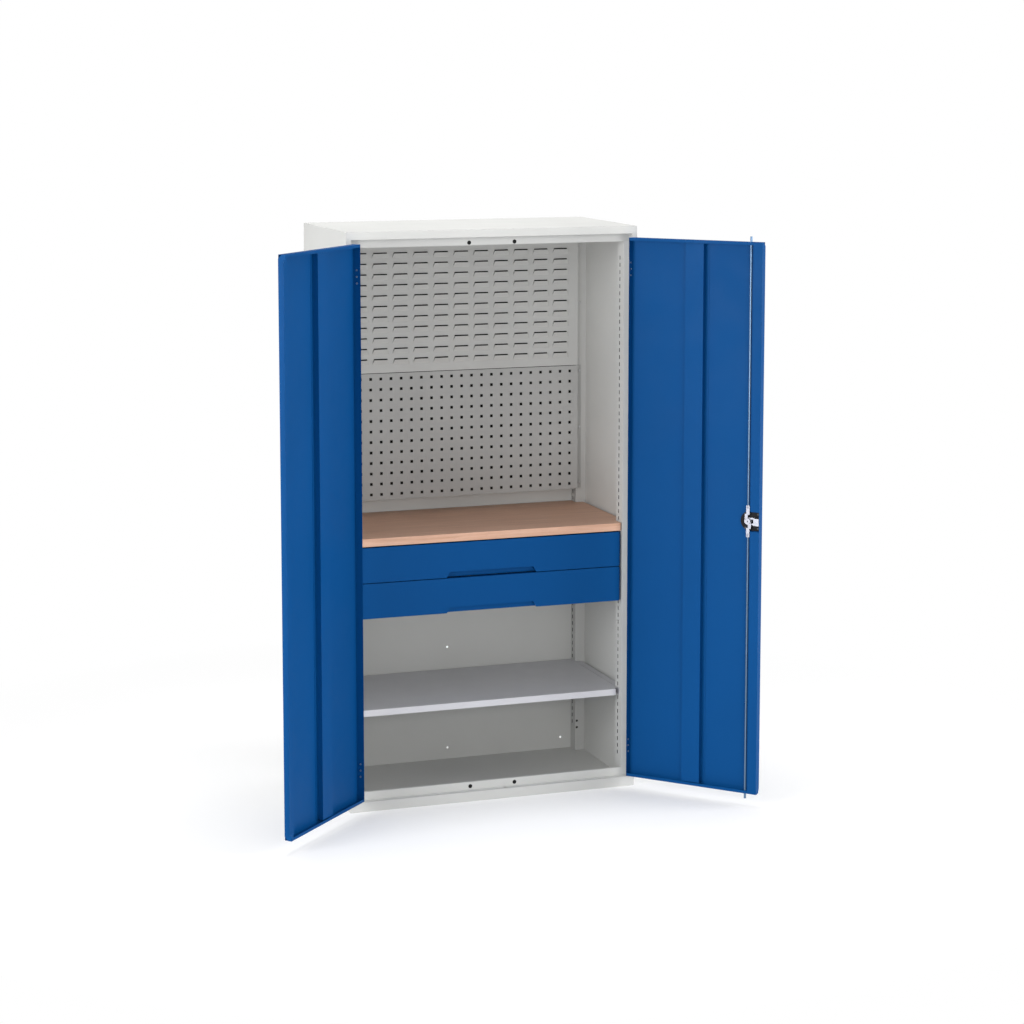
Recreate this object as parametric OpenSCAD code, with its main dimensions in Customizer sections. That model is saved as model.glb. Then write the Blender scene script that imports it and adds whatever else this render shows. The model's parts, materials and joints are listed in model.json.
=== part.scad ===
// Steel tool cabinet with two hinged doors, a louvred and a perforated back
// panel, a wooden worktop, two drawers on telescopic runners and a shelf.
// Units are millimetres. The origin is the centre of the footprint on the
// floor, +Z is up and the cabinet opens towards -Y. The doors are drawn open.

/* [Carcass] */
// Overall width of the carcass
cabinet_w = 1050; // [1000:10:1300]
// Overall depth of the carcass
cabinet_d = 550; // [500:10:700]
// Overall height of the carcass
cabinet_h = 2000; // [1950:10:2300]
// Thickness of the folded steel sheet
sheet = 1; // [0.8:0.1:1.2]
// Height of the plinth below the doors
plinth_h = 34; // [28:1:50]
// Height of the lip above the doors
lip_h = 26; // [20:1:40]
// Height of the rails that the doors close against
rail_h = 29; // [24:1:36]
// Depth of the hollow sill behind the lower rail
sill_d = 13; // [10:1:20]
// Width of the front strip beside each door
strip_w = 17; // [15:1:25]
// How far the back panel is set in
back_inset = 13; // [8:1:20]
// Height of the floor pan
floor_z = 6; // [4:1:12]

/* [Posts] */
// Distance from the side wall's outside to a post's inner face
post_w = 38; // [34:1:50]
// Depth of a front post
front_post_d = 61; // [50:1:80]
// Depth of a rear post
rear_post_d = 47; // [40:1:60]
// Spacing of the slots
slot_pitch = 25; // [20:1:30]
// Height of the lowest slot
slot_first = 110; // [100:5:150]
// Width of a slot
slot_w = 7; // [6:0.5:8]
// Height of a slot
slot_h = 14; // [12:0.5:16]

/* [Back panels] */
// Height of each back panel
panel_h = 457; // [380:1:460]
// Height at which the perforated panel starts
panel_z = 1002.5; // [995:0.5:1010]
// Depth of a back panel's folded edge
panel_depth = 14; // [10:1:20]
// Spacing of the perforations
hole_pitch = 38; // [30:1:50]
// Side of a square perforation
hole_side = 10; // [8:0.5:12]
// Width of a louvre's lower edge
louvre_w = 64; // [50:1:70]
// Height of a louvre
louvre_h = 17; // [12:1:20]
// How far a louvre stands out
louvre_out = 7; // [5:0.5:9]
// Height of the gap in the sheet above a louvre
louvre_gap = 4; // [2:0.5:6]
// Gap between the two back panels
panel_gap = 2; // [0.5:0.5:4]

/* [Worktop] */
// Height of the worktop's surface
worktop_z = 948.5; // [940:0.5:960]
// Thickness of the worktop
worktop_t = 27; // [22:1:30]
// Height of a worktop bracket
bracket_drop = 28; // [24:1:34]
// Width of a worktop bracket
bracket_w = 30; // [20:1:40]

/* [Drawers] */
// Height of one drawer with its gap
drawer_pitch = 125; // [110:1:130]
// Gap between drawer fronts
drawer_gap = 3; // [2:0.5:4]
// Gap between the worktop and the upper drawer
drawer_top_gap = 4.5; // [3:0.5:8]
// Depth of a drawer box
drawer_d = 430; // [380:5:440]
// How far a drawer opens
drawer_travel = 400; // [300:10:400]
// Half the length of the finger cut-out's lower edge
finger_half = 165; // [120:5:200]
// Height of the finger cut-out
finger_h = 20; // [15:1:25]
// Depth of a drawer front's folded edge
front_d = 19; // [15:1:22]
// Corner radius of a drawer front
front_r = 10; // [6:1:12]

/* [Shelf] */
// Height of the shelf's surface
shelf_z = 347; // [345:1:350]
// Height of the shelf's folded front edge
shelf_edge = 22.5; // [18:0.5:25]

/* [Doors] */
// Depth of a door
door_t = 26; // [24:1:30]
// Angle at which the left door stands open
left_angle = 134.4; // [100:0.1:150]
// Angle at which the right door stands open
right_angle = 131.5; // [100:0.1:150]
// Gap between a door and the lips above and below it
door_gap = 12; // [10.5:0.5:14]
// Gap between the doors, each side of the middle
meeting_gap = 1.5; // [1.5:0.5:3]
// Width of the folded lips along the top and bottom of a door
door_lip = 10; // [8:1:20]
// Width of the folded lip at the right door's free edge
free_lip = 33; // [20:1:34]
// Width of the folded lip at the left door's free edge
left_lip = 14; // [10:1:20]
// Overlap of the left door's strip behind the right door
overlap = 12; // [10:1:12]
// Width of a door's stiffener
stiffener_w = 68; // [50:1:90]
// Distance from the hinge side to the stiffener
stiffener_from = 214; // [150:1:250]
// Height of the chamfered corners at the free edges
corner_cut = 13; // [6:1:15]

/* [Hinges] */
// Distance of the hinges from the door's ends
hinge_from_end = 109; // [90:1:200]
// Length of a hinge
hinge_h = 80; // [66:1:100]
// Spacing of a hinge's screws
hinge_pitch = 22; // [18:1:24]
// Outer radius of a hinge barrel
barrel_r = 4.5; // [4:0.1:5]
// Radius of a hinge pin
pin_r = 2.5; // [2:0.1:3]

/* [Lock] */
// Height of the lock
lock_z = 1004; // [995:1:1050]
// Distance from the right door's free edge to the spindle
lock_in = 44; // [44:1:60]
// Radius of a locking rod
rod_r = 4; // [3:0.5:4.5]
// How far a locking rod stands out of the door
rod_out = 19; // [17:0.5:20]
// Travel of a locking rod
rod_travel = 10; // [9:0.5:11]
// Travel of the tongue
tongue_travel = 12; // [11.5:0.5:12.5]
// Height of the tongue
tongue_h = 25; // [25:1:30]
// Radius of the spindle
spindle_r = 5; // [4:0.5:5.5]
// Length of the handle's lever
lever_l = 105; // [90:1:130]

/* [Hidden] */
$fn = 32;
eps = 0.01;

// Colours
grey_paint = "gainsboro";
blue_paint = "royalblue";
zinc = "silver";
black_plastic = "dimgray";

// Planes of the carcass
side_x = cabinet_w / 2;
front_y = -cabinet_d / 2;
rear_y = cabinet_d / 2;
wall_in = side_x - sheet;
back_y = rear_y - back_inset;
seat_gap = 1;
rail_y = front_y + door_t + seat_gap;
step_x = side_x - strip_w;
post_x = side_x - post_w;
front_post_end = rail_y + front_post_d;
rear_post_y = back_y - rear_post_d;
top_z = cabinet_h - sheet;
opening_top = cabinet_h - lip_h;
sill_top = plinth_h + rail_h - 1;
rail_bottom = opening_top - rail_h;
lip_fold = 8;
front_slot_in = 37;
rear_slot_in = 16;
post_front_slot_y = rail_y + front_slot_in;
post_rear_slot_y = back_y - rear_slot_in;
slot_count = floor((rail_bottom - 60 - slot_first) / slot_pitch) + 1;
function slot_level(z) = slot_first + slot_pitch * round((z - slot_first) / slot_pitch);

// A slab between two corners
module slab(low, high) {
    translate(low) cube(high - low);
}

module both_sides() {
    children();
    mirror([1, 0, 0]) children();
}

// ---------------------------------------------------------------- carcass

// Slotted sheet standing in the YZ plane, its inner face at x
module slotted_sheet(x, y0, y1, z0, z1, slot_y) {
    translate([x, 0, 0]) rotate([90, 0, 90]) linear_extrude(sheet) difference() {
        translate([y0, z0]) square([y1 - y0, z1 - z0]);
        for (i = [0 : slot_count - 1])
            translate([slot_y, slot_first + i * slot_pitch])
                square([slot_w, slot_h], center = true);
    }
}

module side() {
    color(grey_paint) {
        slab([wall_in, front_y, 0], [side_x, rear_y, top_z]);
        slab([step_x, front_y, plinth_h], [wall_in, front_y + sheet, opening_top]);
        slab([step_x, front_y, plinth_h], [step_x + sheet, rail_y + sheet, opening_top]);
        slab([post_x, rail_y, sill_top], [step_x + sheet, rail_y + sheet, rail_bottom]);
        slotted_sheet(post_x, rail_y, front_post_end, sill_top, rail_bottom, post_front_slot_y);
        slab([post_x, front_post_end - sheet, sill_top], [wall_in, front_post_end, rail_bottom]);
    }
}

module side_left() { mirror([1, 0, 0]) side(); }
module side_right() { side(); }

post_hole_r = 4.5;
module rear_post() {
    hole_x = post_x + 7;
    color(grey_paint) {
        slotted_sheet(post_x, rear_post_y, back_y, floor_z, top_z, post_rear_slot_y);
        difference() {
            slab([post_x, rear_post_y, floor_z], [wall_in, rear_post_y + sheet, top_z]);
            for (i = [0, 1])
                translate([hole_x, rear_post_y - sheet, 93 + i * slot_pitch])
                    rotate([-90, 0, 0]) cylinder(r = post_hole_r, h = 3 * sheet);
        }
    }
}

module rear_post_left() { mirror([1, 0, 0]) rear_post(); }
module rear_post_right() { rear_post(); }

wall_hole_r = 4;
wall_hole_in = 79;
wall_hole_low = 48;
wall_hole_drop = 52;
wall_hole_high = cabinet_h - wall_hole_drop;
centre_hole_rise = 380;
module back_panel() {
    color(grey_paint) difference() {
        union() {
            slab([-wall_in, back_y, 0], [wall_in, back_y + sheet, top_z]);
            slab([-wall_in, back_y, 0], [wall_in, rear_y, sheet]);
            slab([-wall_in, back_y, top_z - sheet], [wall_in, rear_y, top_z]);
            both_sides() slab([wall_in - sheet, back_y, 0], [wall_in, rear_y, top_z]);
        }
        back_holes() cylinder(r = wall_hole_r, h = 4 * sheet, center = true);
    }
}

module back_holes() {
    for (x = [-1, 1], z = [wall_hole_low, wall_hole_high])
        translate([x * (side_x - wall_hole_in), back_y, z]) rotate([90, 0, 0]) children();
    for (i = [0, 1])
        translate([0, back_y, wall_hole_low + i * centre_hole_rise])
            rotate([90, 0, 0]) children();
}

module top_cover() {
    color(grey_paint) {
        slab([-side_x, front_y, top_z], [side_x, rear_y, cabinet_h]);
        slab([-wall_in, front_y, opening_top], [wall_in, front_y + sheet, cabinet_h]);
        slab([-wall_in, front_y, opening_top], [wall_in, front_y + lip_fold, opening_top + sheet]);
    }
}

buffer_x = 82;
buffer_r = 5;
buffer_stem_r = 3;
top_buffer_z = rail_bottom + 9;
low_buffer_z = plinth_h + 13;

module stem_holes(z) {
    for (x = [-buffer_x, buffer_x])
        translate([x, rail_y - sheet, z]) rotate([-90, 0, 0])
            cylinder(r = buffer_stem_r, h = 3 * sheet);
}

module top_rail() {
    color(grey_paint) difference() {
        union() {
            slab([-step_x, rail_y, rail_bottom], [step_x, rail_y + sheet, top_z]);
            slab([-post_x, rail_y, rail_bottom], [post_x, rail_y + 20, rail_bottom + sheet]);
        }
        stem_holes(top_buffer_z);
    }
}

rod_hole_r = rod_r + 2.5;
module plinth() {
    sill_back = rail_y + sill_d;
    color(grey_paint) difference() {
        union() {
            slab([-wall_in, front_y, 0], [wall_in, front_y + sheet, plinth_h]);
            slab([-wall_in, front_y, 0], [wall_in, front_y + 20, sheet]);
            slab([-wall_in, front_y, plinth_h - sheet], [wall_in, rail_y + sheet, plinth_h]);
            slab([-step_x, rail_y, plinth_h - sheet], [step_x, rail_y + sheet, sill_top]);
            slab([-step_x, rail_y, sill_top - sheet], [step_x, sill_back, sill_top]);
            slab([-step_x, sill_back - sheet, floor_z - sheet], [step_x, sill_back, sill_top]);
        }
        stem_holes(low_buffer_z);
        translate([rod_x, rod_y, plinth_h - 2 * sheet]) cylinder(r = rod_hole_r, h = 3 * sheet);
    }
}

module floor_pan() {
    start = rail_y + sill_d;
    color(grey_paint) {
        slab([-wall_in, start, floor_z - sheet], [wall_in, back_y, floor_z]);
        slab([-wall_in, back_y - sheet, 0], [wall_in, back_y, floor_z]);
        both_sides() slab([wall_in - sheet, start, 0], [wall_in, back_y, floor_z]);
    }
}

// A rubber buffer: a domed head on the rail and a stem in its hole
module door_buffers() {
    head = seat_gap * 0.7;
    color(black_plastic)
        for (x = [-buffer_x, buffer_x], z = [low_buffer_z, top_buffer_z])
            translate([x, rail_y, z]) rotate([90, 0, 0]) {
                cylinder(r1 = buffer_r, r2 = buffer_r - head, h = head);
                translate([0, 0, -4]) cylinder(r = buffer_stem_r, h = 4 + eps);
            }
}

// ------------------------------------------------------------ back panels

panel_front_y = rear_post_y - panel_depth - sheet;
panel_lip = 19;
louvre_z = panel_z + panel_h + panel_gap;
panel_half = post_x;
hole_columns = floor((2 * panel_half - 62) / hole_pitch) + 1;
hole_rows = floor((panel_h - 20) / hole_pitch) + 1;
panel_screw_x = post_x + 12;
screw_r = 2;
function screw_levels(z) = [z + 20, z + panel_h / 2, z + panel_h - 20];

// Flat of a back panel with the given cut-outs, its folded edges and lips
module back_tray(z) {
    color(grey_paint) {
        translate([0, panel_front_y + sheet, z]) rotate([90, 0, 0]) linear_extrude(sheet)
            difference() {
                translate([-panel_half, 0]) square([2 * panel_half, panel_h]);
                children();
            }
        for (h = [0, panel_h - sheet])
            slab([-panel_half, panel_front_y, z + h],
                 [panel_half, rear_post_y - sheet, z + h + sheet]);
        both_sides() slab([panel_half - sheet, panel_front_y, z],
                          [panel_half, rear_post_y, z + panel_h]);
        both_sides() difference() {
            slab([panel_half - sheet, rear_post_y - sheet, z],
                 [panel_half + panel_lip, rear_post_y, z + panel_h]);
            for (h = screw_levels(0))
                translate([panel_screw_x, rear_post_y - 2 * sheet, z + h])
                    rotate([-90, 0, 0]) cylinder(r = screw_r, h = 3 * sheet);
        }
    }
}

module perforated_panel() {
    back_tray(panel_z)
        for (i = [0 : hole_columns - 1], j = [0 : hole_rows - 1])
            translate([(i - (hole_columns - 1) / 2) * hole_pitch,
                       panel_h / 2 + (j - (hole_rows - 1) / 2) * hole_pitch])
                square(hole_side, center = true);
}

louvre_pitch = 2 * hole_pitch;
louvre_columns = floor((2 * panel_half - louvre_w) / louvre_pitch) + 1;
louvre_rows = hole_rows - 1;
louvre_slope = 7;

// Outlines of the louvres, or with a gap those of the cuts in the sheet
module louvre_outlines(inset, gap = 0) {
    for (i = [0 : louvre_columns - 1], j = [0 : louvre_rows - 1])
        translate([(i - (louvre_columns - 1) / 2) * louvre_pitch,
                   panel_h / 2 + (j - (louvre_rows - 1) / 2) * hole_pitch - louvre_h / 2])
            polygon([[-louvre_w / 2 + inset, inset], [louvre_w / 2 - inset, inset],
                     [louvre_w / 2 - louvre_slope - inset, louvre_h + gap],
                     [-louvre_w / 2 + louvre_slope + inset, louvre_h + gap]]);
}

module louvre_panel() {
    back_tray(louvre_z) louvre_outlines(0, louvre_gap);
    color(grey_paint) translate([0, panel_front_y, louvre_z]) difference() {
        louvre_solids(0);
        louvre_solids(sheet);
    }
}

module louvre_solids(inset) {
    intersection() {
        rotate([90, 0, 0]) linear_extrude(2 * louvre_out, center = true)
            louvre_outlines(inset);
        rotate([90, 0, 90]) linear_extrude(2 * panel_half, center = true)
            louvre_side(inset);
    }
}

// Wedges that run from the sheet's rear face at the bottom to the raised top
module louvre_side(inset) {
    for (j = [0 : louvre_rows - 1])
        translate([0, panel_h / 2 + (j - (louvre_rows - 1) / 2) * hole_pitch - louvre_h / 2])
            polygon([[sheet, -inset], [0, 0], [inset - louvre_out, louvre_h],
                     [inset - louvre_out, louvre_h + inset], [sheet, louvre_h + inset]]);
}

module panel_screws() {
    color(zinc) both_sides()
        for (start = [panel_z, louvre_z], h = screw_levels(start))
            translate([panel_screw_x, rear_post_y, h]) rotate([90, 0, 0]) {
                translate([0, 0, sheet]) cylinder(r = 4, h = 2);
                cylinder(r = screw_r, h = sheet + eps);
            }
}

// -------------------------------------------------------- worktop, shelf

worktop_front_y = rail_y + 3;
worktop_back_y = back_y - 7;
bay_half = side_x - 10;
post_gap = 3;

// Outline that passes between the posts and widens behind them
module bay_outline(front, back, half, wide) {
    front_notch = front_post_end + post_gap;
    rear_notch = rear_post_y - post_gap;
    polygon([[-half, front], [half, front], [half, front_notch], [wide, front_notch],
             [wide, rear_notch], [half, rear_notch], [half, back], [-half, back],
             [-half, rear_notch], [-wide, rear_notch], [-wide, front_notch],
             [-half, front_notch]]);
}

module worktop() {
    round_r = 5;
    color("burlywood") translate([0, 0, worktop_z - worktop_t]) linear_extrude(worktop_t)
        difference() {
            bay_outline(worktop_front_y, worktop_back_y, post_x - post_gap, bay_half);
            both_sides() translate([post_x - post_gap, worktop_front_y]) difference() {
                square(2 * round_r, center = true);
                translate([-round_r, round_r]) circle(round_r);
                translate([-2 * round_r, -round_r]) square([round_r, 2 * round_r]);
                translate([-2 * round_r, round_r]) square([3 * round_r, round_r]);
            }
        }
}

// Angle bracket hooked into the slots of both posts, flat at the given height
module bracket(z, drop, hook_z, inner, colour) {
    leg_x = post_x - 1.5;
    color(colour) {
        slab([leg_x, rail_y + 12, z - drop], [post_x, back_y - 12, z]);
        slab([inner, rail_y + 12, z - 1.5], [post_x, back_y - 12, z]);
        for (y = [post_front_slot_y, post_rear_slot_y])
            slab([post_x - eps, y - slot_w / 2 + 0.5, hook_z - 5],
                 [post_x + sheet + 2, y + slot_w / 2 - 0.5, hook_z + 5]);
    }
}

worktop_under = worktop_z - worktop_t;
module worktop_bracket() {
    bracket(worktop_under, bracket_drop, slot_level(worktop_under - bracket_drop / 2),
            post_x - bracket_w, zinc);
}
module worktop_bracket_left() { mirror([1, 0, 0]) worktop_bracket(); }
module worktop_bracket_right() { worktop_bracket(); }

shelf_half = post_x - 17;
shelf_wide = post_x - 3;
shelf_front_y = rail_y + 13;
shelf_back_y = back_y - 8;
module shelf() {
    under = shelf_z - shelf_edge;
    color(zinc) {
        slab([-shelf_half, shelf_front_y, shelf_z - sheet], [shelf_half, shelf_back_y, shelf_z]);
        slab([-shelf_half, shelf_front_y, under], [shelf_half, shelf_front_y + sheet, shelf_z]);
        slab([-shelf_half, shelf_front_y, under], [shelf_half, shelf_front_y + 14, under + sheet]);
        slab([-shelf_half, shelf_back_y - sheet, under], [shelf_half, shelf_back_y, shelf_z]);
        both_sides() {
            slab([shelf_half - sheet, shelf_front_y, under], [shelf_half, shelf_back_y, shelf_z]);
            slab([shelf_half - sheet, shelf_front_y + 20, shelf_z - sheet],
                 [shelf_wide, shelf_back_y - 2, shelf_z]);
        }
    }
}

// Hanging bracket that carries the shelf and fills the side of the bay
module shelf_bracket() {
    under = shelf_z - shelf_edge;
    leg_x = post_x - 1.5;
    hook_z = slot_level(shelf_z - 12);
    color(zinc) {
        slab([leg_x, shelf_front_y + 4, under - 2], [post_x, shelf_back_y, shelf_z - sheet]);
        slab([shelf_half - 12, shelf_front_y + 20, under - 1.5], [post_x, shelf_back_y - 4, under]);
        slab([leg_x, front_post_end + post_gap, shelf_z - sheet],
             [bay_half - 5, rear_post_y - post_gap, shelf_z]);
        for (y = [post_front_slot_y, post_rear_slot_y])
            slab([post_x - eps, y - slot_w / 2 + 0.5, hook_z - 5],
                 [post_x + sheet + 2, y + slot_w / 2 - 0.5, hook_z + 5]);
    }
}
module shelf_bracket_left() { mirror([1, 0, 0]) shelf_bracket(); }
module shelf_bracket_right() { shelf_bracket(); }

// ---------------------------------------------------------------- drawers

// One telescopic runner: a fixed channel hooked to the posts, a middle
// channel and a slide on the drawer box, nested with a running gap
runner_t = 1.5;
runner_gap = 0.3;
channel_half = 22.5;
channel_in = post_x - 11;
middle_half = channel_half - runner_t - runner_gap;
door_clear = 4.5;
middle_out = post_x - door_clear;
middle_in = post_x - 15;
slide_half = middle_half - runner_t - runner_gap;
box_half = post_x - 17.5;
runner_start = worktop_front_y + front_d + 1;
runner_end = back_y - 12;
upper_front_top = worktop_under - drawer_top_gap;
front_height = drawer_pitch - drawer_gap;
function drawer_bottom(level) = upper_front_top - level * drawer_pitch - front_height;
runner_rise = 40;
function runner_z(level) = slot_level(drawer_bottom(0) + runner_rise) - level * slot_pitch
    * round(drawer_pitch / slot_pitch);

module channel(z, web_x, lip_x, half, y0, y1) {
    low = min(web_x, lip_x);
    high = max(web_x, lip_x);
    web = web_x > lip_x ? web_x - runner_t : web_x;
    slab([web, y0, z - half], [web + runner_t, y1, z + half]);
    for (s = [-half, half - runner_t]) slab([low, y0, z + s], [high, y1, z + s + runner_t]);
}

module runner_channels(level) {
    z = runner_z(level);
    color(zinc) both_sides() {
        channel(z, post_x, channel_in, channel_half, runner_start, runner_end);
        for (y = [post_front_slot_y, post_rear_slot_y])
            slab([post_x - eps, y - slot_w / 2 + 0.5, z - 5],
                 [post_x + sheet + 2, y + slot_w / 2 - 0.5, z + 5]);
    }
}

module runner_middles(level) {
    color(zinc) both_sides()
        channel(runner_z(level), middle_out, middle_in, middle_half,
                runner_start + 2, runner_end - 20);
}

module runner_slides(level) {
    color(zinc) both_sides()
        channel(runner_z(level), box_half, middle_out - 3.5, slide_half,
                runner_start + 1, runner_end - 30);
}

module runner_channels_upper() { runner_channels(0); }
module runner_channels_lower() { runner_channels(1); }
module runner_middles_upper() { runner_middles(0); }
module runner_middles_lower() { runner_middles(1); }
module runner_slides_upper() { runner_slides(0); }
module runner_slides_lower() { runner_slides(1); }

module drawer_box(level) {
    low = drawer_bottom(level) + 8;
    high = drawer_bottom(level) + front_height - 22;
    front = worktop_front_y + front_d;
    back = front + drawer_d;
    color(grey_paint) {
        slab([-box_half, front, low], [box_half, back, low + sheet]);
        for (y = [front, back - sheet])
            slab([-box_half, y, low], [box_half, y + sheet, high]);
        both_sides() {
            slab([box_half - sheet, front, low], [box_half, back, high]);
            slab([box_half - 10, front, high - sheet], [box_half, back, high]);
        }
    }
}
module drawer_box_upper() { drawer_box(0); }
module drawer_box_lower() { drawer_box(1); }

front_half = post_x - door_clear;
finger_top = finger_half - 12;

module finger_outline(inset, height) {
    polygon([[-finger_half - inset, -1], [finger_half + inset, -1],
             [finger_half + inset, 0], [finger_top + inset, height],
             [-finger_top - inset, height], [-finger_half - inset, 0]]);
}

// Rounded block of a drawer front, set in on every side but the back
module front_block(inset) {
    r = front_r - inset;
    h = front_height - 2 * inset;
    w = 2 * (front_half - inset);
    intersection() {
        translate([0, worktop_front_y + front_d, 0]) rotate([90, 0, 0])
            linear_extrude(front_d - inset) rounded_rect(w, h, r, inset);
        translate([0, 0, -1]) linear_extrude(front_height + 2) front_plan(inset, r);
    }
}

module rounded_rect(w, h, r, base) {
    translate([-w / 2 + r, base + r]) square([w - 2 * r, h - 2 * r]);
    translate([-w / 2, base + r]) square([w, h - 2 * r]);
    translate([-w / 2 + r, base]) square([w - 2 * r, h]);
    for (x = [-w / 2 + r, w / 2 - r], y = [base + r, base + h - r])
        translate([x, y]) circle(r);
}

// Plan of the front with its outer corners rounded
module front_plan(inset, r) {
    y0 = worktop_front_y + inset;
    x = front_half - inset;
    translate([-x, y0 + r]) square([2 * x, front_d - inset - r + 1]);
    translate([-x + r, y0]) square([2 * (x - r), r + 1]);
    for (s = [-1, 1]) translate([s * (x - r), y0 + r]) circle(r);
}

module drawer_front(level) {
    back = worktop_front_y + front_d;
    color(blue_paint) translate([0, 0, drawer_bottom(level)]) {
        difference() {
            front_block(0);
            difference() {
                translate([0, eps, 0]) front_block(sheet);
                translate([0, back + 1, 0]) rotate([90, 0, 0])
                    linear_extrude(front_d + 2) finger_outline(sheet, finger_h + sheet);
            }
            translate([0, back - sheet, 0]) rotate([90, 0, 0])
                linear_extrude(front_d + 2) finger_outline(0, finger_h);
        }
    }
}
module drawer_front_upper() { drawer_front(0); }
module drawer_front_lower() { drawer_front(1); }

// ------------------------------------------------------------------ doors

// A door is described closed on the right-hand side and then turned open
door_low = plinth_h + door_gap;
door_high = opening_top - door_gap - 0.5;
door_hinge_x = step_x - 4.5;
hinge_x = step_x - 2.25;
hinge_y = front_y - 6;
rim_y = front_y + door_t;

module open_door(angle) {
    translate([hinge_x, hinge_y, 0]) rotate([0, 0, angle])
        translate([-hinge_x, -hinge_y, 0]) children();
}
module open_right() { open_door(right_angle) children(); }
module open_left() { mirror([1, 0, 0]) open_door(left_angle) children(); }

module corner_clip(z, up) {
    c = corner_cut;
    translate([meeting_gap - 1, front_y - 1, z]) rotate([90, 0, 90])
        linear_extrude(3)
            polygon([[0, 0], [c + 1, 0], [0, up * (c + 1)]]);
}

module door_panel() {
    x0 = meeting_gap;
    x1 = door_hinge_x;
    slab([x0, front_y, door_low], [x1, front_y + sheet, door_high]);
    slab([x1 - sheet, front_y, door_low], [x1, rim_y, door_high]);
    slab([x0, front_y, door_low], [x0 + sheet, rim_y, door_high]);
    for (z = [door_low, door_high - sheet])
        slab([x0, front_y, z], [x1, rim_y, z + sheet]);
    for (z = [door_low, door_high - door_lip])
        slab([x0, rim_y - sheet, z], [x1 - 3, rim_y, z + door_lip]);
}

module door_right() {
    x0 = meeting_gap;
    color(blue_paint) open_right() difference() {
        union() {
            door_panel();
            slab([x0, rim_y - sheet, door_low + 3], [x0 + free_lip, rim_y, door_high - 3]);
        }
        corner_clip(door_low, 1);
        corner_clip(door_high, -1);
        slab([x0 + sheet, rim_y - 2 * sheet, lock_z - housing_r - 1],
             [x0 + free_lip + 1, rim_y + 1, lock_z + housing_r + 1]);
        translate([rod_x, rod_y, door_low - 1])
            cylinder(r = rod_r + 0.5, h = door_high - door_low + 2);
        at_lock() cylinder(r = spindle_r + 3, h = 4 * sheet, center = true);
        hinge_screw_holes();
    }
}

module door_left() {
    color(blue_paint) open_left() difference() {
        union() {
            door_panel();
            slab([meeting_gap, rim_y - sheet, door_low + 3],
                 [meeting_gap + left_lip, rim_y, door_high - 3]);
        }
        corner_clip(door_low, 1);
        corner_clip(door_high, -1);
        hinge_screw_holes();
    }
}

// Hat-section stiffener on the inside of the outer sheet
module stiffener() {
    x1 = door_hinge_x - stiffener_from;
    x0 = x1 - stiffener_w;
    y0 = front_y + sheet;
    y1 = y0 + 20;
    z0 = door_low + door_lip + 1;
    z1 = door_high - door_lip - 1;
    color(blue_paint) {
        slab([x0, y1 - sheet, z0], [x1, y1, z1]);
        for (x = [x0, x1 - sheet]) slab([x, y0, z0], [x + sheet, y1, z1]);
        slab([x0 - 14, y0, z0], [x0 + sheet, y0 + sheet, z1]);
        slab([x1 - sheet, y0, z0], [x1 + 14, y0 + sheet, z1]);
    }
}
module stiffener_left() { open_left() stiffener(); }
module stiffener_right() { open_right() stiffener(); }

// Strip on the left door that lies behind the right door when closed
module meeting_strip() {
    gap = 0.3;
    z0 = sill_top + 4;
    z1 = rail_bottom - 4;
    color(blue_paint) open_left() {
        slab([meeting_gap, rim_y, z0], [meeting_gap + left_lip, rim_y + sheet + gap, z1]);
        slab([-overlap, rim_y + gap, z0], [meeting_gap + eps, rim_y + sheet + gap, z1]);
    }
}

// ----------------------------------------------------------------- hinges

hinge_levels = [door_low + hinge_from_end, door_high - hinge_from_end];
knuckle_h = hinge_h / 3;
knuckle_gap = 0.3;
leaf_t = 1.5;
leaf_deep = 24;
pin_fit = 0.05;
swing_clear = 0.4;

module hinge_barrel(z0, z1) {
    translate([hinge_x, hinge_y, z0]) cylinder(r = barrel_r, h = z1 - z0);
}

module hinge_screw_axes() {
    for (z = hinge_levels, i = [-1, 0, 1])
        translate([0, front_y + 13, z + i * hinge_pitch]) rotate([0, 90, 0]) children();
}

module hinge_screw_holes() {
    hinge_screw_axes() translate([0, 0, door_hinge_x - 2 * sheet])
        cylinder(r = screw_r, h = 3 * sheet);
}

// Leaf on the carcass with the two outer knuckles
module carcass_leaf(z) {
    k = knuckle_h / 2;
    difference() {
        union() {
            difference() {
                slab([step_x - leaf_t, hinge_y, z - hinge_h / 2],
                     [step_x, hinge_y + leaf_deep + 6, z + hinge_h / 2]);
                hinge_barrel_clear(z - k - knuckle_gap, z + k + knuckle_gap);
            }
            hinge_barrel(z - hinge_h / 2, z - k - knuckle_gap);
            hinge_barrel(z + k + knuckle_gap, z + hinge_h / 2);
        }
        translate([hinge_x, hinge_y, z - hinge_h]) cylinder(r = pin_r, h = 2 * hinge_h);
    }
}

module hinge_barrel_clear(z0, z1) {
    translate([hinge_x, hinge_y, z0]) cylinder(r = barrel_r + swing_clear, h = z1 - z0);
}

// Leaf on the door with the middle knuckle
module door_leaf(z) {
    k = knuckle_h / 2 - knuckle_gap;
    difference() {
        union() {
            difference() {
                slab([door_hinge_x, hinge_y, z - hinge_h / 2],
                     [door_hinge_x + leaf_t, hinge_y + leaf_deep + 6, z + hinge_h / 2]);
                hinge_barrel_clear(z - hinge_h, z - k);
                hinge_barrel_clear(z + k, z + hinge_h);
            }
            hinge_barrel(z - k, z + k);
        }
        translate([hinge_x, hinge_y, z - hinge_h]) cylinder(r = pin_r + pin_fit, h = 2 * hinge_h);
    }
}

module door_leaves() {
    color(zinc) difference() {
        for (z = hinge_levels) door_leaf(z);
        hinge_screw_axes() translate([0, 0, door_hinge_x - sheet])
            cylinder(r = screw_r, h = 4);
    }
}

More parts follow.
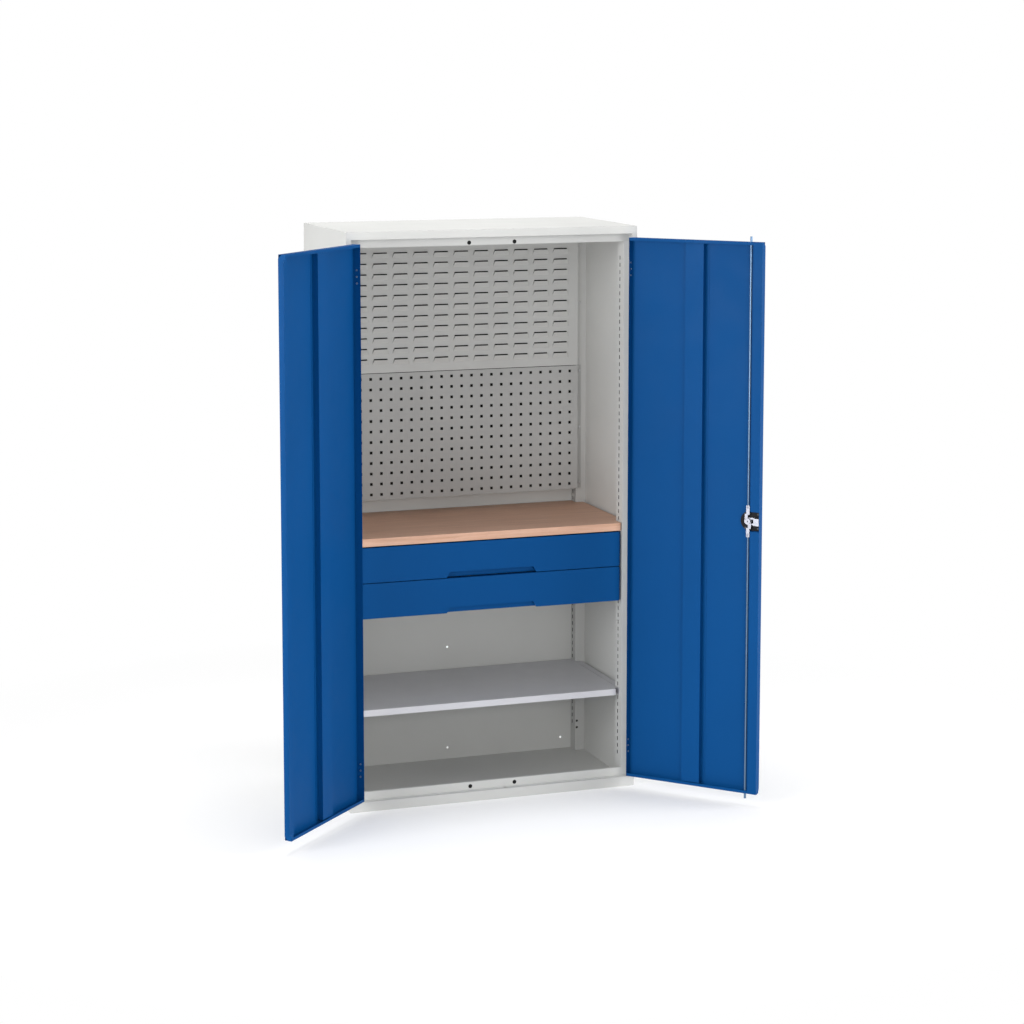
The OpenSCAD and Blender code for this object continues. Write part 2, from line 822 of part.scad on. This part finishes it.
module hinge_leaves_carcass() {
    color(zinc) both_sides() difference() {
        for (z = hinge_levels) carcass_leaf(z);
        hinge_screw_axes() translate([0, 0, step_x - 4]) cylinder(r = screw_r, h = 6);
    }
}
module hinge_leaves_left() { open_left() door_leaves(); }
module hinge_leaves_right() { open_right() door_leaves(); }

module hinge_pins() {
    color(zinc) both_sides() for (z = hinge_levels)
        translate([hinge_x, hinge_y, z - hinge_h / 2 - 1])
            cylinder(r = pin_r, h = hinge_h + 2);
}

// Screws through the step of the side, flush in the leaf
module hinge_screws_carcass() {
    color(zinc) both_sides() hinge_screw_axes() {
        translate([0, 0, step_x - leaf_t]) cylinder(r = screw_r, h = leaf_t);
    }
}

// Screws through the door's hinge edge, their heads inside the door
module door_screws() {
    color(zinc) hinge_screw_axes() {
        translate([0, 0, door_hinge_x - sheet - eps]) cylinder(r = screw_r, h = sheet + leaf_t + eps);
        translate([0, 0, door_hinge_x - sheet - 2]) cylinder(r = 3.5, h = 2);
    }
}
module hinge_screws_left() { open_left() door_screws(); }
module hinge_screws_right() { open_right() door_screws(); }

// ------------------------------------------------------------------- lock

// The lock is drawn locked: rods out and tongue behind the meeting strip
rod_x = meeting_gap + lock_in;
layer_gap = 0.3;
layer_t = 3;
housing_r = 33;
housing_y = front_y + 12;
cam_y = housing_y + layer_gap;
tongue_y = cam_y + layer_t + layer_gap;
rod_layer_y = tongue_y + layer_t + layer_gap;
rod_y = rod_layer_y;
tongue_tip_y = rim_y + sheet + 0.8;
rod_pin_at = rod_travel / 2;
tongue_pin_at = tongue_travel / 2;
cam_pin_r = 1.75;
cam_pin_fit = 0.45;
cam_slot = cam_pin_r + cam_pin_fit;
rod_arc = sqrt(2) * rod_pin_at;
tongue_arc = sqrt(2) * tongue_pin_at;

// Places children at the spindle, with z pointing out of the door's front
module at_lock() {
    translate([rod_x, front_y, lock_z]) rotate([90, 0, 0]) children();
}

// Plate in the XZ plane about the spindle, from y0, of the given thickness
module lock_plate(y0, t) {
    translate([rod_x, y0 + t, lock_z]) rotate([90, 0, 0]) linear_extrude(t) children();
}

housing_edge = lock_in - 4;
lock_screw_spots = [[6 - housing_edge, 25], [6 - housing_edge, -25], [13, 24], [13, -24]];

module lock_housing() {
    color(black_plastic) open_right() difference() {
        lock_plate(front_y + sheet, housing_y - front_y - sheet) {
            translate([-2, 0]) circle(housing_r);
            translate([-housing_edge, -housing_r]) square([housing_edge - 2, 2 * housing_r]);
        }
        at_lock() translate([0, 0, -20]) cylinder(r = spindle_r + pin_fit, h = 30);
        for (s = lock_screw_spots)
            translate([rod_x + s[0], housing_y + 1, lock_z + s[1]]) rotate([90, 0, 0])
                cylinder(r = screw_r, h = 9);
    }
}

module lock_screws() {
    color(zinc) open_right() for (s = lock_screw_spots)
        translate([rod_x + s[0], housing_y, lock_z + s[1]]) rotate([90, 0, 0]) {
            translate([0, 0, -1.5]) cylinder(r = 3.5, h = 1.5);
            translate([0, 0, -eps]) cylinder(r = screw_r, h = 8 + eps);
        }
}

plate_t = 8;
plate_r = 22;
plate_up = 28;
plate_down = 62;
hub_r = 16;
hub_fit = 0.05;
plug_r = 7;
handle_y = front_y - plate_t - 0.4;
handle_t = 16;
boss_r = 20;
grip_w = 26;
grip_end_r = 10;
grip_gap = 4;

// Moulded plate around the handle, outside the door
module handle_plate() {
    color(black_plastic) open_right() difference() {
        translate([rod_x, front_y, lock_z]) rotate([90, 0, 0]) linear_extrude(plate_t) {
            for (z = [-plate_down, plate_up]) translate([0, z]) circle(plate_r);
            translate([-plate_r, -plate_down]) square([2 * plate_r, plate_down + plate_up]);
        }
        at_lock() translate([0, 0, -1]) cylinder(r = hub_r + hub_fit, h = plate_t + 2);
    }
}

// Front outline of the handle: a round boss and a lever that narrows
module lever_front() {
    circle(boss_r);
    polygon([[-grip_w / 2, 0], [grip_w / 2, 0], [grip_end_r, -lever_l], [-grip_end_r, -lever_l]]);
    translate([0, -lever_l]) circle(grip_end_r);
}

// Side outline, depth by height: the lever stands off the door for the fingers
module lever_side() {
    tip = -lever_l - grip_end_r - 1;
    polygon([[0, boss_r + 1], [handle_t - 2, boss_r + 1], [handle_t, boss_r - 5],
             [handle_t, -boss_r + 4], [handle_t - 4, -boss_r - 12],
             [handle_t - 4, -lever_l / 2], [handle_t, -lever_l], [handle_t - 2, tip],
             [grip_gap + 2, tip], [grip_gap + 2, -lever_l], [grip_gap, -lever_l / 2],
             [grip_gap, -boss_r - 8], [0, -boss_r]]);
}

// Turning handle, its lever hanging down while locked
module door_handle() {
    color(black_plastic) open_right() difference() {
        union() {
            at_lock() translate([0, 0, 0.3]) cylinder(r = hub_r, h = plate_t + handle_t - 0.3);
            translate([rod_x, handle_y, lock_z]) rotate([90, 0, 0]) intersection() {
                linear_extrude(handle_t) lever_front();
                rotate([0, -90, 0]) linear_extrude(2 * boss_r + 2, center = true) lever_side();
            }
        }
        at_lock() translate([0, 0, plate_t]) cylinder(r = plug_r + pin_fit, h = 20);
        at_lock() cylinder(r = spindle_r, h = plate_t - 3);
    }
}

module key_plug() {
    color(zinc) open_right() difference() {
        at_lock() translate([0, 0, plate_t]) cylinder(r = plug_r, h = handle_t + 1);
        at_lock() translate([0, 0, plate_t + handle_t - 3]) translate([-1, -4, 0]) cube([2, 8, 6]);
    }
}

cam_out = front_y - cam_y;
cover_y = rod_layer_y + layer_t + layer_gap;
cover_t = 1.8;
cover_hole_r = 2.6;

// Spindle, cam disc, the three pins that drive the rods and the tongue, and
// the small disc that ties the rods' pins together on the inside of the door
module spindle() {
    color(zinc) open_right() {
        at_lock() translate([0, 0, cam_out]) cylinder(r = spindle_r, h = plate_t - 3 - cam_out);
        lock_plate(cam_y, layer_t) circle(tongue_arc + cam_pin_r + 1.5);
        lock_plate(cover_y, cover_t) difference() {
            circle(rod_arc + cam_pin_r + 0.7);
            circle(cover_hole_r);
        }
        cam_pin(rod_pin_at, rod_pin_at, cover_y + eps);
        cam_pin(-rod_pin_at, -rod_pin_at, cover_y + eps);
        cam_pin(-tongue_pin_at, tongue_pin_at, tongue_y + layer_t - 0.2);
    }
}

module cam_pin(x, z, top_y) {
    translate([rod_x + x, top_y, lock_z + z]) rotate([90, 0, 0])
        cylinder(r = cam_pin_r, h = top_y - cam_y - layer_t + eps);
}

// Flat end of the upper rod: a slotted arm beside the spindle and a bar
arm_w = 11;
arm_off = 0.5;
bar_half = 6;
bar_from = rod_arc + cam_slot + rod_travel + 4;
bar_to = 55;
module rod_end() {
    lock_plate(rod_layer_y, layer_t) difference() {
        union() {
            translate([arm_off, 0]) square([arm_w, bar_from + 2]);
            translate([-bar_half, bar_from]) square([2 * bar_half, bar_to - bar_from]);
        }
        translate([rod_pin_at - cam_slot, rod_pin_at - cam_slot])
            square([rod_arc - rod_pin_at + 2 * cam_slot, 2 * cam_slot]);
    }
}

module rod_upper() {
    color(zinc) open_right() {
        rod_end();
        rod_bar(lock_z + bar_to - 12, door_high + rod_out);
    }
}

module rod_lower() {
    color(zinc) open_right() {
        translate([rod_x, 0, lock_z]) rotate([0, 180, 0]) translate([-rod_x, 0, -lock_z])
            rod_end();
        rod_bar(door_low - rod_out, lock_z - bar_to + 12);
    }
}

module rod_bar(z0, z1) {
    translate([rod_x, rod_y, z0]) cylinder(r = rod_r, h = z1 - z0);
}

// Sliding tongue: a windowed plate in the lock, cranked over the door's rim
head_end = 14.5;
tip_x = meeting_gap + 0.5;
window_top = 2;
web_wall = 2.4;
module latch_tongue() {
    half = tongue_h / 2;
    tip = tip_x - rod_x;
    crank = -(arm_off + arm_w + tongue_travel + layer_t + 0.8);
    window_half = rod_pin_at + cam_slot;
    window_left = -(tongue_travel + window_half + 0.5);
    web_left = -tongue_pin_at - cam_slot - web_wall;
    web_right = -tongue_pin_at + cam_slot + web_wall;
    color(zinc) open_right() {
        lock_plate(tongue_y, layer_t) difference() {
            union() {
                translate([crank, -half]) square([head_end - half - crank, tongue_h]);
                translate([head_end - half, 0]) circle(half);
            }
            translate([window_left, -window_half])
                square([window_half - window_left, window_half + window_top]);
            translate([web_right, 0]) square([window_half - web_right, window_half]);
            translate([window_left, 0]) square([web_left - window_left, window_half]);
            translate([-tongue_pin_at - cam_slot, tongue_pin_at - cam_slot])
                square([2 * cam_slot, tongue_arc - tongue_pin_at + 2 * cam_slot]);
        }
        translate([rod_x + crank, tongue_y, lock_z - half])
            cube([layer_t, tongue_tip_y + layer_t - tongue_y, tongue_h]);
        translate([rod_x + tip, tongue_tip_y, lock_z - half])
            cube([crank - tip + layer_t, layer_t, tongue_h]);
    }
}

side_left();
side_right();
rear_post_left();
rear_post_right();
back_panel();
top_cover();
top_rail();
plinth();
floor_pan();
door_buffers();
louvre_panel();
perforated_panel();
panel_screws();
worktop();
worktop_bracket_left();
worktop_bracket_right();
shelf();
shelf_bracket_left();
shelf_bracket_right();
runner_channels_upper();
runner_channels_lower();
runner_middles_upper();
runner_middles_lower();
runner_slides_upper();
runner_slides_lower();
drawer_box_upper();
drawer_box_lower();
drawer_front_upper();
drawer_front_lower();
door_left();
door_right();
stiffener_left();
stiffener_right();
meeting_strip();
hinge_leaves_carcass();
hinge_leaves_left();
hinge_leaves_right();
hinge_pins();
hinge_screws_carcass();
hinge_screws_left();
hinge_screws_right();
lock_housing();
lock_screws();
handle_plate();
door_handle();
key_plug();
spindle();
rod_upper();
rod_lower();
latch_tongue();
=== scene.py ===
"""Looks for the tool cabinet: materials, small details, stage, light and camera."""

import json
import math

import bmesh
import bpy
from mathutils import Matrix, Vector


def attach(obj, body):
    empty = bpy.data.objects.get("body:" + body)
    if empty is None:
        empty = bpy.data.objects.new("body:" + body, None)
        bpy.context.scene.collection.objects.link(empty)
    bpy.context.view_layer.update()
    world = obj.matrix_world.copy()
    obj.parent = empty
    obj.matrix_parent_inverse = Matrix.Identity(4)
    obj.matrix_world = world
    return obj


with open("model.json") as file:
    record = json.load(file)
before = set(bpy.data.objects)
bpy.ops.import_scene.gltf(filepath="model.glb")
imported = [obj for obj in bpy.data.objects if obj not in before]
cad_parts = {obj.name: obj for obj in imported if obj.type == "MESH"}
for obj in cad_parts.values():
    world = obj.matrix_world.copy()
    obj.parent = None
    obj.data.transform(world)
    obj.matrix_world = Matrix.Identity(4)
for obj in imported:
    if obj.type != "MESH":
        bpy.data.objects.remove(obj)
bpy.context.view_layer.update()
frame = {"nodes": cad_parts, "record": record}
NODES = frame["nodes"]

# Places taken from the CAD model, in metres
LOCK_Z = 1.004
ROD_END = 0.056
RAIL_Y = -0.248
BUFFER_X, BUFFER_LEVELS = 0.082, (0.047, 1.954)
# Hollows that no light reaches, given painted shade: lowest and highest |x|, y and z of
# each
HOLLOWS = (
    ((0.4873, 0.5242), (-0.2475, -0.1875), (0.036, 1.9985)),
    ((0.4873, 0.5242), (0.2153, 0.2625), (0.036, 1.9985)),
    ((-1.0, 0.483), (0.2014, 0.2625), (1.006, 1.918)),
)
HOLLOW_SHADE = 0.08

# ------------------------------------------------------------------ helpers


def make_object(name, bm, material, smooth=True):
    """A mesh object from bm, with its material and its shading."""
    bmesh.ops.recalc_face_normals(bm, faces=bm.faces)
    mesh = bpy.data.meshes.new(name)
    bm.to_mesh(mesh)
    bm.free()
    obj = bpy.data.objects.new(name, mesh)
    bpy.context.scene.collection.objects.link(obj)
    obj.data.materials.append(material)
    for polygon in mesh.polygons:
        polygon.use_smooth = smooth
    return obj


class Graph:
    """A material's node tree with short calls for adding and linking nodes."""

    def __init__(self, name):
        self.material = bpy.data.materials.new(name)
        self.material.use_nodes = True
        self.tree = self.material.node_tree
        self.shader = self.tree.nodes["Principled BSDF"]
        self.place = self.add("ShaderNodeTexCoord").outputs["Object"]

    def add(self, kind, **values):
        """A new node with its properties set."""
        node = self.tree.nodes.new(kind)
        for key, value in values.items():
            setattr(node, key, value)
        return node

    def link(self, source, target):
        self.tree.links.new(source, target)

    def put(self, value, socket):
        """Link an output to the socket, or set a number or a colour on it."""
        if isinstance(value, bpy.types.NodeSocket):
            self.link(value, socket)
        elif isinstance(value, (int, float)):
            socket.default_value = value
        else:
            socket.default_value = (*value, 1)

    def stretch(self, scale, vector=None):
        """Coordinates scaled by a different number along each axis."""
        mapping = self.add("ShaderNodeMapping")
        mapping.inputs["Scale"].default_value = scale
        self.link(vector or self.place, mapping.inputs["Vector"])
        return mapping.outputs["Vector"]

    def noise(self, scale, detail=3.0, rough=0.5, vector=None):
        node = self.add("ShaderNodeTexNoise")
        node.inputs["Scale"].default_value = scale
        node.inputs["Detail"].default_value = detail
        node.inputs["Roughness"].default_value = rough
        self.link(vector or self.place, node.inputs["Vector"])
        return node.outputs["Fac"]

    def cells(self, scale):
        """A random colour for each cell of a Voronoi pattern."""
        node = self.add("ShaderNodeTexVoronoi")
        node.inputs["Scale"].default_value = scale
        self.link(self.place, node.inputs["Vector"])
        return node.outputs["Color"]

    def spread(self, value, low, high, from_low=0.3, from_high=0.7):
        """The value mapped from one range of numbers to another, and clamped."""
        node = self.add("ShaderNodeMapRange")
        node.inputs["From Min"].default_value = from_low
        node.inputs["From Max"].default_value = from_high
        node.inputs["To Min"].default_value = low
        node.inputs["To Max"].default_value = high
        self.link(value, node.inputs["Value"])
        return node.outputs["Result"]

    def ramp(self, value, *stops):
        """A colour ramp through (position, colour) pairs."""
        node = self.add("ShaderNodeValToRGB")
        elements = node.color_ramp.elements
        while len(elements) < len(stops):
            elements.new(0.5)
        for element, (position, colour) in zip(elements, stops):
            element.position = position
            element.color = (*colour, 1)
        self.link(value, node.inputs["Fac"])
        return node.outputs["Color"]

    def shades(self, value, colour, darkest, lightest):
        """Shades of one colour, from darkest to lightest times its brightness."""
        return self.ramp(value, (0.3, tint(colour, darkest)), (0.7, tint(colour, lightest)))

    def mix(self, factor, a, b):
        node = self.add("ShaderNodeMix", data_type="RGBA")
        for value, index in ((factor, 0), (a, 6), (b, 7)):
            self.put(value, node.inputs[index])
        return node.outputs[2]

    def math(self, operation, a, b):
        node = self.add("ShaderNodeMath", operation=operation)
        self.put(a, node.inputs[0])
        self.put(b, node.inputs[1])
        return node.outputs[0]

    def between(self, value, low, high):
        """1 where value lies between low and high, and 0 elsewhere."""
        above = self.math("GREATER_THAN", value, low)
        return self.math("MULTIPLY", above, self.math("LESS_THAN", value, high))

    def axes(self):
        """The x, y and z of the object coordinates."""
        node = self.add("ShaderNodeSeparateXYZ")
        self.link(self.place, node.inputs[0])
        return node.outputs

    def bump(self, height, strength, distance):
        node = self.add("ShaderNodeBump")
        node.inputs["Strength"].default_value = strength
        node.inputs["Distance"].default_value = distance
        self.link(height, node.inputs["Height"])
        self.feed("Normal", node.outputs["Normal"])

    def set(self, **values):
        """Constants on the shader's inputs."""
        for key, value in values.items():
            self.shader.inputs[key.replace("_", " ")].default_value = value

    def feed(self, name, output):
        self.link(output, self.shader.inputs[name])


def tint(colour, factor):
    return tuple(min(1.0, c * factor) for c in colour)


# ---------------------------------------------------------------- materials

DRAWN = (900.0, 900.0, 40.0)


def shade_hollows(g, paint, colour):
    """The paint, with painted shade inside the posts and behind the panels."""
    x, y, z = g.axes()
    across = g.math("ABSOLUTE", x, 0.0)
    for limits in HOLLOWS:
        inside = 1.0
        for value, (low, high) in zip((across, y, z), limits):
            inside = g.math("MULTIPLY", inside, g.between(value, low, high))
        paint = g.mix(inside, paint, tint(colour, HOLLOW_SHADE))
    return paint


def powder_coat(name, colour, rough, shine=0.3, painted_hollow_shade=False):
    """Powder-coated sheet: faint orange peel, slow changes of tone and gloss, and painted
    shade in the hollows when asked.
    """
    g = Graph(name)
    paint = g.shades(g.noise(2.2, 4.0), colour, 0.965, 1.03)
    # Painted shade: the paint turns dark inside the posts and behind the panels
    if painted_hollow_shade:
        paint = shade_hollows(g, paint, colour)
    g.feed("Base Color", paint)
    g.feed("Roughness", g.spread(g.noise(9.0, 5.0), rough - 0.04, rough + 0.07))
    g.bump(g.noise(700.0, 2.0), 0.07, 0.0001)
    g.set(Specular_IOR_Level=shine)
    return g.material


def zinc_sheet(name, colour, rough=0.36, spangle=70.0):
    """Galvanised sheet: soft crystals of slightly different tone and gloss."""
    g = Graph(name)
    split = g.add("ShaderNodeSeparateColor")
    g.link(g.cells(spangle), split.inputs[0])
    tone = g.mix(0.25, split.outputs[0], g.noise(4.0, 4.0))
    g.feed("Base Color", g.ramp(tone, (0.2, tint(colour, 0.93)), (0.8, tint(colour, 1.06))))
    g.feed("Roughness", g.spread(split.outputs[1], rough - 0.03, rough + 0.07, 0.0, 1.0))
    g.set(Metallic=0.55)
    g.bump(g.noise(260.0, 2.0), 0.08, 0.0002)
    return g.material


def satin_zinc(name, colour):
    """Smooth zinc-plated sheet with a dull, slowly changing sheen."""
    g = Graph(name)
    g.feed("Base Color", g.shades(g.noise(3.0, 4.0), colour, 0.97, 1.03))
    g.feed("Roughness", g.spread(g.noise(14.0, 4.0), 0.42, 0.52))
    g.set(Metallic=0.25, Specular_IOR_Level=0.4)
    g.bump(g.noise(320.0, 2.0), 0.05, 0.0001)
    return g.material


def drawn_metal(g, marks, rough_low, rough_high):
    """Gloss and relief of plated steel drawn along its length."""
    g.feed("Roughness", g.spread(g.noise(60.0, 4.0), rough_low, rough_high))
    g.set(Metallic=0.9)
    g.bump(marks, 0.1, 0.0001)
    return g.material


def bright_metal(name, colour, rough):
    """Plated steel with fine marks from drawing along its length."""
    g = Graph(name)
    marks = g.noise(1.0, vector=g.stretch(DRAWN))
    g.feed("Base Color", g.shades(marks, colour, 0.94, 1.04))
    return drawn_metal(g, marks, rough - 0.05, rough + 0.08)


def rod_plating_and_reflection(name, bar, end, mark_colour=(0.05, 0.06, 0.08)):
    """Plated rod: bright flat ends at the lock and a duller blue-grey round bar beyond,
    whose blue is a painted reflection of the blue doors.
    """
    g = Graph(name)
    at_end = g.between(g.axes()[2], LOCK_Z - ROD_END, LOCK_Z + ROD_END)
    marks = g.noise(1.0, vector=g.stretch(DRAWN))
    # The bar's blue-grey tone is a painted reflection of the blue doors on plated steel
    tone = g.mix(at_end, bar, end)
    g.feed("Base Color", g.mix(g.spread(marks, 0.0, 0.15), tone, mark_colour))
    return drawn_metal(g, marks, 0.27, 0.40)


def moulded(name, colour, rough=0.55, grain=900.0):
    """Moulded plastic or rubber with a fine spark-eroded grain."""
    g = Graph(name)
    g.set(Specular_IOR_Level=0.15)
    g.feed("Base Color", g.shades(g.noise(30.0, 4.0), colour, 0.85, 1.2))
    g.feed("Roughness", g.spread(g.noise(50.0, 4.0), rough - 0.06, rough + 0.08))
    g.bump(g.noise(grain, 2.0), 0.3, 0.0003)
    return g.material


def beech_board(name):
    """Beech board: long grain along X with short darker flecks."""
    g = Graph(name)
    bend = g.noise(3.0, vector=g.stretch((0.5, 2.0, 2.0)))
    warp = g.add("ShaderNodeVectorMath", operation="MULTIPLY_ADD")
    g.link(bend, warp.inputs[0])
    warp.inputs[1].default_value = (0.0, 0.05, 0.05)
    g.link(g.place, warp.inputs[2])
    grain = g.noise(2.2, 6.0, 0.6, g.stretch((1.3, 34.0, 34.0), warp.outputs[0]))
    base = g.ramp(
        grain,
        (0.28, (0.560, 0.310, 0.205)),
        (0.5, (0.650, 0.385, 0.265)),
        (0.72, (0.730, 0.465, 0.340)),
    )
    fleck = g.noise(1.0, 2.0, vector=g.stretch((60.0, 900.0, 900.0)))
    dark = g.spread(fleck, 0.0, 0.35, 0.62, 0.72)
    g.feed("Base Color", g.mix(dark, base, (0.330, 0.170, 0.105)))
    g.feed("Roughness", g.spread(grain, 0.42, 0.58))
    g.bump(grain, 0.10, 0.0006)
    return g.material


# The second grey is painted shade for the recessed louvre panel, the top rail under the lip
# and the rear posts
CARCASS_GREY, PAINTED_SHADE_GREY = (0.625, 0.628, 0.610), (0.560, 0.563, 0.550)
# The first grey here is painted shade for the perforated panel deep at the back of the
# cabinet
PAINTED_DEEP_SHADE_GREY, DOOR_BLUE = (0.460, 0.463, 0.455), (0.0022, 0.067, 0.232)
# The second colour is plated steel with a painted reflection of the blue doors
BRIGHT_PLATING, ROD_PLATING_AND_REFLECTION = (0.44, 0.45, 0.51), (0.15, 0.24, 0.37)

BY_SLOT = {
    "carcass_paint": powder_coat("carcass_paint", CARCASS_GREY, 0.48, painted_hollow_shade=True),
    "door_paint": powder_coat("door_paint", DOOR_BLUE, 0.44, 0.06),
    "zinc": zinc_sheet("zinc_sheet", (0.50, 0.51, 0.53)),
    "screws": bright_metal("screw_steel", (0.60, 0.61, 0.62), 0.3),
    "bright_metal": bright_metal("bright_steel", BRIGHT_PLATING, 0.32),
    "black_rubber": moulded("black_rubber", (0.014, 0.014, 0.014), 0.75, 500.0),
    "black_plastic": moulded("black_plastic", (0.010, 0.010, 0.012)),
    "worktop_board": beech_board("beech_board"),
}
# Nodes whose material differs from the rest of their slot
OTHER_MATERIAL = (
    (
        satin_zinc("shelf_zinc", (0.62, 0.62, 0.65)),
        ("shelf", "shelf_bracket_left", "shelf_bracket_right"),
    ),
    (
        # Painted shade: a darker grey for the louvre panel, the top rail and the rear posts
        powder_coat("louvre_rail_post_painted_shade", PAINTED_SHADE_GREY, 0.5, 0.2, painted_hollow_shade=True),
        ("louvre_panel", "top_rail", "rear_post_left", "rear_post_right"),
    ),
    (
        # Painted shade: a darker grey still for the perforated panel
        powder_coat("perforated_panel_painted_shade", PAINTED_DEEP_SHADE_GREY, 0.55, 0.15, painted_hollow_shade=True),
        ("perforated_panel",),
    ),
    (bright_metal("blackened_steel", (0.06, 0.06, 0.065), 0.4), ("lock_screws",)),
    (rod_plating_and_reflection("rod_plating_and_reflection", ROD_PLATING_AND_REFLECTION, BRIGHT_PLATING), ("rod_upper", "rod_lower")),
)

for row in frame["record"]["subparts"]:
    materials = NODES[row["node"]].data.materials
    materials.clear()
    materials.append(BY_SLOT[row["material_slot"]])
for material, names in OTHER_MATERIAL:
    for name in names:
        NODES[name].data.materials[0] = material

# ------------------------------------------------------------ small details

SHARP_ANGLE = math.radians(40)
BEVEL_SEGMENTS = 3


def round_edges(width, *names):
    """Small rounded edges on stiff, simple nodes, as a modifier over the CAD mesh."""
    for name in names:
        bevel = NODES[name].modifiers.new("edges", "BEVEL")
        bevel.width = width
        bevel.segments = BEVEL_SEGMENTS
        bevel.limit_method = "ANGLE"
        bevel.angle_limit = SHARP_ANGLE


round_edges(0.0015, "worktop", "handle_plate")
round_edges(0.0022, "drawer_front_upper", "drawer_front_lower")

TURNED_STEPS = 32
# Radius and height of each ring, in metres
COLLAR_PROFILE = (
    (0.0071, 0.0),
    (0.0071, 0.0002),
    (0.0066, 0.0005),
    (0.0052, 0.0006),
    (0.0048, 0.0005),
)


def turned(profile, place):
    """Solid of revolution about -Y from (radius, height) pairs, base at place."""
    bm = bmesh.new()
    rings = []
    for radius, height in profile:
        ring = []
        for i in range(TURNED_STEPS):
            angle = 2 * math.pi * i / TURNED_STEPS
            offset = Vector((radius * math.cos(angle), -height, radius * math.sin(angle)))
            ring.append(bm.verts.new(Vector(place) + offset))
        rings.append(ring)
    for a, b in zip(rings, rings[1:]):
        for i in range(TURNED_STEPS):
            bm.faces.new((a[i], a[i - 1], b[i - 1], b[i]))
    bm.faces.new(rings[0])
    bm.faces.new(reversed(rings[-1]))
    return bm


def buffer_collars():
    """Thin rubber collars on the rails, around the heads of the door buffers."""
    for i, (side, z) in enumerate((s, z) for s in (-1, 1) for z in BUFFER_LEVELS):
        bm = turned(COLLAR_PROFILE, (side * BUFFER_X, RAIL_Y, z))
        collar = make_object(f"buffer_collar_{i}", bm, BY_SLOT["black_rubber"])
        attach(collar, "carcass")


buffer_collars()

# ---------------------------------------------------------- floor and light

FLOOR_DROP, FLOOR_HALF_SIZE = 0.0005, 30.0
NEAR_RADIUS, FAR_RADIUS = 1.3, 2.4
NEAR_GLOW, FAR_GLOW = 0.26, 1.0
FLOOR_UNSEEN, FLOOR_SEEN, FLOOR_FAR = (0.80,) * 3, (0.76,) * 3, (0.0,) * 3
WHITE = (1, 1, 1, 1)
AMBIENT, BACKDROP = 0.38, 1.0


def make_floor():
    """A pale floor with a soft shadow near the object, pure white further out."""
    g = Graph("floor")
    reach = g.add("ShaderNodeVectorMath", operation="LENGTH")
    g.link(g.place, reach.inputs[0])
    far = g.spread(reach.outputs["Value"], 0.0, 1.0, NEAR_RADIUS, FAR_RADIUS)
    paths = g.add("ShaderNodeLightPath")
    seen = g.math("MAXIMUM", paths.outputs["Is Camera Ray"], paths.outputs["Is Glossy Ray"])
    near = g.mix(seen, FLOOR_UNSEEN, FLOOR_SEEN)
    g.feed("Base Color", g.mix(g.math("MULTIPLY", seen, far), near, FLOOR_FAR))
    glow = g.spread(far, NEAR_GLOW, FAR_GLOW, 0.0, 1.0)
    g.feed("Emission Strength", g.math("MULTIPLY", seen, glow))
    g.set(Roughness=0.9, Emission_Color=WHITE, Specular_IOR_Level=0.0)
    bm = bmesh.new()
    bmesh.ops.create_grid(bm, x_segments=1, y_segments=1, size=FLOOR_HALF_SIZE)
    bmesh.ops.translate(bm, verts=bm.verts, vec=(0, 0, -FLOOR_DROP))
    return make_object("floor", bm, g.material, smooth=False)


def make_world():
    """A white backdrop for the camera that lights the object less brightly."""
    world = bpy.data.worlds.new("studio")
    bpy.context.scene.world = world
    world.use_nodes = True
    tree = world.node_tree
    background = tree.nodes["Background"]
    path = tree.nodes.new("ShaderNodeLightPath")
    either = tree.nodes.new("ShaderNodeMath")
    either.operation = "MAXIMUM"
    tree.links.new(path.outputs["Is Camera Ray"], either.inputs[0])
    tree.links.new(path.outputs["Is Transmission Ray"], either.inputs[1])
    level = tree.nodes.new("ShaderNodeMapRange")
    level.inputs["To Min"].default_value = AMBIENT
    level.inputs["To Max"].default_value = BACKDROP
    tree.links.new(either.outputs[0], level.inputs["Value"])
    tree.links.new(level.outputs["Result"], background.inputs["Strength"])
    background.inputs["Color"].default_value = WHITE


def area_light(name, place, target, size, power):
    """A white rectangular light aimed at target and hidden from the camera."""
    data = bpy.data.lights.new(name, "AREA")
    data.shape = "RECTANGLE"
    data.size, data.size_y = size
    data.energy = power
    light = bpy.data.objects.new(name, data)
    bpy.context.scene.collection.objects.link(light)
    light.location = place
    aim = Vector(target) - Vector(place)
    light.rotation_euler = aim.to_track_quat("-Z", "Y").to_euler()
    light.visible_camera = False


make_floor()
make_world()

MIDDLE, TOP, FOOT = (0, -0.3, 1.0), (0, 0.1, 1.9), (0, 0, 0.3)
area_light("left", (-5.2, -2.7, 2.2), MIDDLE, (3.0, 3.0), 228)
area_light("right", (5.2, -2.7, 2.2), MIDDLE, (3.0, 3.0), 222)
area_light("overhead", (0.0, 0.4, 4.7), TOP, (2.5, 2.0), 95)
area_light("front", (-1.0, -6.8, 2.6), MIDDLE, (3.0, 2.0), 36)
area_light("low", (-0.3, -3.6, 1.2), FOOT, (3.0, 0.5), 21)

# ------------------------------------------------------------------- camera

CAMERA_PLACE = (-2.881, -8.607, 2.585)
LOOKING_DOWN, TURNED_RIGHT = math.radians(7.337), math.radians(19.463)

camera_data = bpy.data.cameras.new("camera")
camera_data.lens = 90.92
camera_data.sensor_width = 36.0
camera_data.shift_y = -0.12
camera_data.clip_end = 100.0
camera = bpy.data.objects.new("camera", camera_data)
bpy.context.scene.collection.objects.link(camera)
camera.location = CAMERA_PLACE
camera.rotation_euler = (math.pi / 2 - LOOKING_DOWN, 0, -TURNED_RIGHT)
bpy.context.scene.camera = camera

bpy.context.scene.view_settings.view_transform = "Standard"
